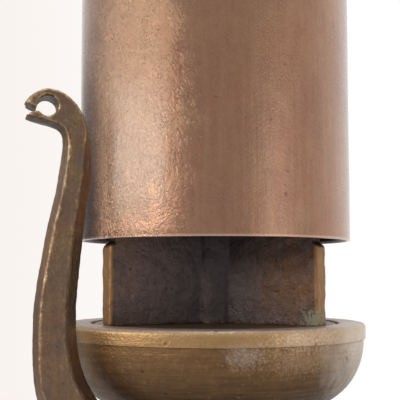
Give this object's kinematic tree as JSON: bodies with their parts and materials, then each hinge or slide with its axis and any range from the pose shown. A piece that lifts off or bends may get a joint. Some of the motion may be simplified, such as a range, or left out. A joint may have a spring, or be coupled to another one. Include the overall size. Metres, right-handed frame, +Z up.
{
  "type": "steam whistle",
  "caption": "Chime steam whistle: three-chamber bell on a centre stud over a round bowl, with a built-in valve opened by a long side lever that ends in a hook.",
  "frame": {"origin": "centre of the pipe inlet's bottom face, on the whistle's axis", "axes": "+Z up along the whistle's axis to the acorn nut; -Y faces the viewer; the lever stands on the -X side, turned 15 degrees to the viewer"},
  "size_m": [0.1811, 0.1676, 0.5165],
  "materials": {
    "bell_copper": "aged copper-brown sheet, brushed lengthwise",
    "bowl_bronze": "golden bronze casting, turned and scratched",
    "languid_bronze": "bronze plate, turned",
    "partition_bronze": "rough purple-brown casting with golden worn edges",
    "lever_bronze": "rough grey-brown casting with golden worn edges",
    "valve_bronze": "bronze casting, machined hexagons",
    "nut_bronze": "machined bronze",
    "trim_bronze": "machined bronze, bright",
    "steel": "turned steel",
    "spring_steel": "oiled spring wire",
    "red_fibre": "red fibre sheet",
    "graphite_packing": "graphited packing"
  },
  "bodies": {
    "whistle": {"valve_body": "valve_bronze", "seat_ring": "trim_bronze", "spring_cap": "valve_bronze", "spring_cap_gasket": "red_fibre", "end_plug": "valve_bronze", "end_plug_gasket": "red_fibre", "valve_spring": "spring_steel", "rear_bushing": "trim_bronze", "shaft_packing": "graphite_packing", "gland_follower": "trim_bronze", "gland_ring": "nut_bronze", "bowl": "bowl_bronze", "stud_spider": "bowl_bronze", "languid_disc": "languid_bronze", "center_stud": "steel", "chime_partition": "partition_bronze", "middle_chamber_plate": "languid_bronze", "short_chamber_plate": "languid_bronze", "bell_tube": "bell_copper", "bell_top": "bell_copper", "top_washer": "bell_copper", "top_nut": "nut_bronze", "acorn_nut": "nut_bronze"},
    "lever": {"rock_shaft": "steel", "valve_toe": "steel", "toe_pin": "steel", "lever": "lever_bronze", "shaft_washer": "steel", "shaft_nut": "steel"},
    "valve": {"valve_stem": "steel", "valve_disc": "trim_bronze", "disc_facing": "graphite_packing", "disc_nut": "steel"}
  },
  "joints": [
    {"name": "lever_hinge", "type": "hinge", "parent": "whistle", "child": "lever", "pos_m": [-0.02898, -0.00777, 0.08], "axis": [0.2588, -0.9659, 0], "range_deg": [0, 12]},
    {"name": "valve_slide", "type": "slide", "parent": "whistle", "child": "valve", "axis": [0.9659, 0.2588, 0], "range_m": [0, 0.0052], "stiffness_N_per_m": 4000, "springref_m": -0.012, "deforming": ["valve_spring"]}
  ],
  "couplings": [
    {"joint": "valve_slide", "follows": "lever_hinge", "m_per_rad": 0.024}
  ]
}
